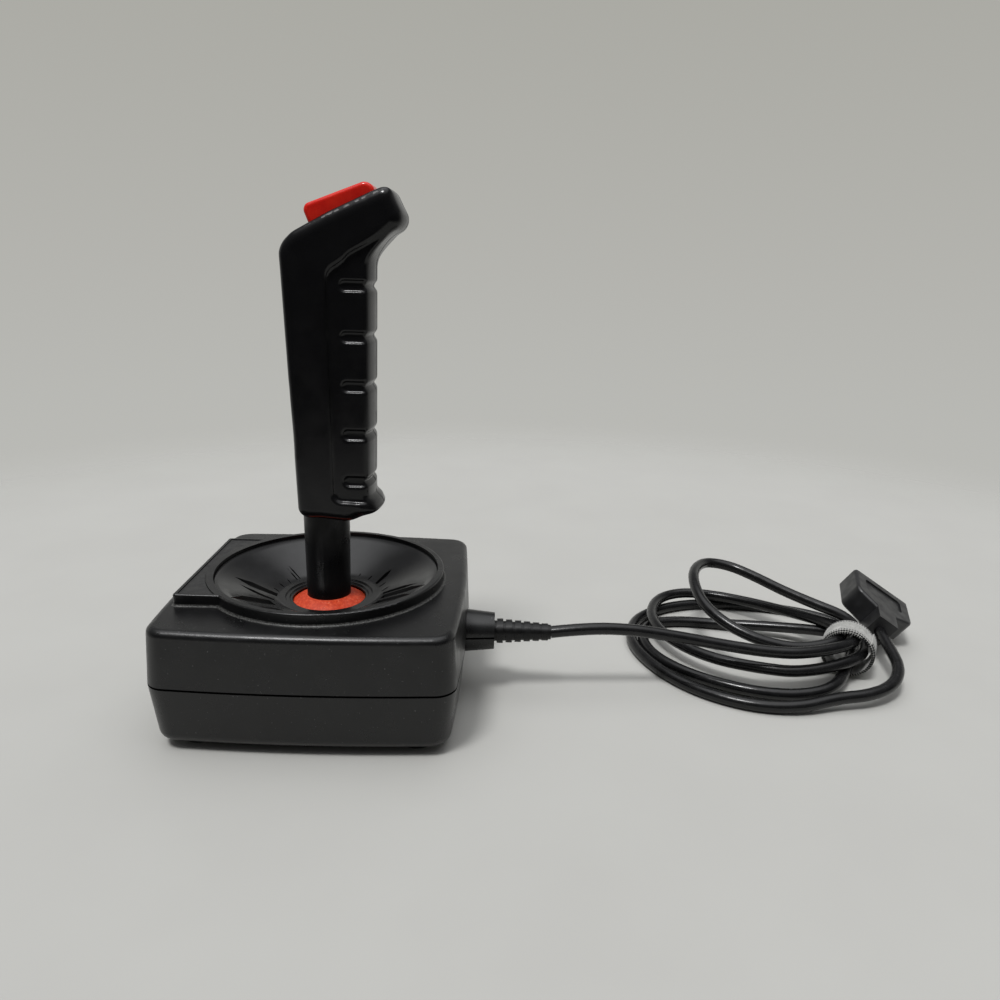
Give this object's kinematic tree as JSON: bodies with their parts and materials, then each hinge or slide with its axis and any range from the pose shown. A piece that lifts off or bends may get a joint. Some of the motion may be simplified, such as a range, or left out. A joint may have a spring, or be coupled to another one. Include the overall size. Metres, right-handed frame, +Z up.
{
  "type": "joystick controller",
  "caption": "Digital joystick with a square black base, an upright pistol grip that tilts in a round bowl, a red fire button on its sloped top, and a coiled cord that ends in a plug.",
  "frame": {"origin": "on the plane that the rubber feet rest on, straight below the stick's pivot", "axes": "+Z up along the stick at rest, +Y towards the side where the cord leaves, -Y towards the player and the label panel, +X to the player's right"},
  "size_m": [0.1499, 0.3274, 0.1966],
  "materials": {
    "case_plastic": "fine grain",
    "label_plastic": "satin",
    "bowl_plastic": "gloss",
    "foot_rubber": "matt",
    "screw_steel": "zinc plated",
    "board_laminate": "satin",
    "dome_steel": "bright",
    "hinge_nylon": "satin",
    "pin_steel": "ground",
    "shaft_plastic": "gloss",
    "dome_plastic": "slightly rough",
    "grip_plastic": "gloss",
    "button_plastic": "gloss",
    "switch_plastic": "satin",
    "wire_insulation": "satin",
    "cord_jacket": "satin",
    "tie_fabric": "woven",
    "plug_plastic": "satin",
    "socket_plastic": "matt",
    "contact_metal": "bright"
  },
  "bodies": {
    "base": {"lower_case": "case_plastic", "upper_case": "case_plastic", "label_panel": "label_plastic", "bowl_insert": "bowl_plastic", "rubber_feet": "foot_rubber", "case_screws": "screw_steel", "circuit_board": "board_laminate", "board_screws": "screw_steel", "snap_domes": "dome_steel", "strain_relief": "cord_jacket", "inner_leads": "wire_insulation", "cord_lead": "cord_jacket", "cord_coil": "cord_jacket", "cord_tail": "cord_jacket", "cord_tie": "tie_fabric", "plug_hood": "plug_plastic", "plug_socket": "socket_plastic", "plug_contacts": "contact_metal"},
    "gimbal": {"gimbal_ring": "hinge_nylon", "trunnion_pins": "pin_steel"},
    "stick": {"stick_shaft": "shaft_plastic", "cross_pin": "pin_steel", "shaft_lock_pin": "pin_steel", "pivot_dome": "dome_plastic", "actuator": "hinge_nylon", "grip_right": "grip_plastic", "grip_left": "grip_plastic", "grip_screws": "screw_steel", "fire_switch": "switch_plastic", "fire_wires": "wire_insulation"},
    "button": {"fire_button": "button_plastic", "switch_plunger": "switch_plastic"}
  },
  "joints": [
    {"name": "gimbal_tilt", "type": "hinge", "parent": "base", "child": "gimbal", "pos_m": [0, 0, 0.018], "axis": [1, 0, 0], "range_deg": [-9, 9], "stiffness_Nm_per_rad": 4},
    {"name": "stick_tilt", "type": "hinge", "parent": "gimbal", "child": "stick", "pos_m": [0, 0, 0.018], "axis": [0, 1, 0], "range_deg": [-9, 9], "stiffness_Nm_per_rad": 4},
    {"name": "button_press", "type": "slide", "parent": "stick", "child": "button", "axis": [0, -0.3714, 0.9285], "range_m": [-0.002, 0], "stiffness_N_per_m": 900, "springref_m": 0.0006}
  ]
}
